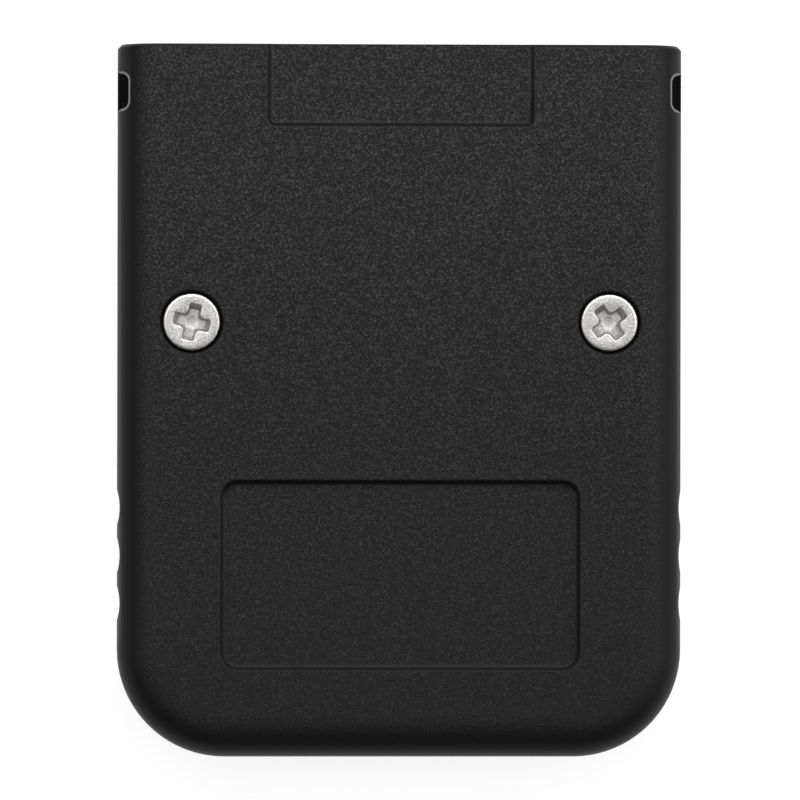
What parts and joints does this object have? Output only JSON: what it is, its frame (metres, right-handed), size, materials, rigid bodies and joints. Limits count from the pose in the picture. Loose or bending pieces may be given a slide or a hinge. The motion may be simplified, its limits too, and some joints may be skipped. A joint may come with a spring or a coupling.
{
  "type": "memory card adapter",
  "caption": "Flat plug-in adapter shaped like a console memory card: black screwed two-part case, label recess, finger grips, edge connector at one end and a flash card slot at the other.",
  "frame": {"origin": "under the middle of the case, on the surface that the front face lies on", "axes": "+Y towards the connector end, +Z out of the screwed rear face, +X to the right seen on that face"},
  "size_m": [0.0414, 0.0522, 0.008],
  "materials": {
    "case_plastic": "fine grained black ABS",
    "screw_steel": "nickel plated steel",
    "board_laminate": "green solder mask on glass laminate",
    "contact_gold": "gold plated",
    "socket_plastic": "black moulded polymer",
    "cover_steel": "tinned sheet steel",
    "resistor_body": "black glazed chip with tinned end caps",
    "capacitor_body": "tan ceramic chip with tinned end caps"
  },
  "bodies": {
    "root": {"front_shell": "case_plastic", "rear_shell": "case_plastic", "case_screws": "screw_steel", "circuit_board": "board_laminate", "edge_contacts": "contact_gold", "socket_base": "socket_plastic", "socket_cover": "cover_steel", "socket_terminal_1": "contact_gold", "socket_terminal_2": "contact_gold", "socket_terminal_3": "contact_gold", "socket_terminal_4": "contact_gold", "socket_terminal_5": "contact_gold", "socket_terminal_6": "contact_gold", "socket_terminal_7": "contact_gold", "socket_terminal_8": "contact_gold", "resistor_1": "resistor_body", "resistor_2": "resistor_body", "resistor_3": "resistor_body", "resistor_4": "resistor_body", "capacitor_1": "capacitor_body", "capacitor_2": "capacitor_body"}
  },
  "joints": []
}
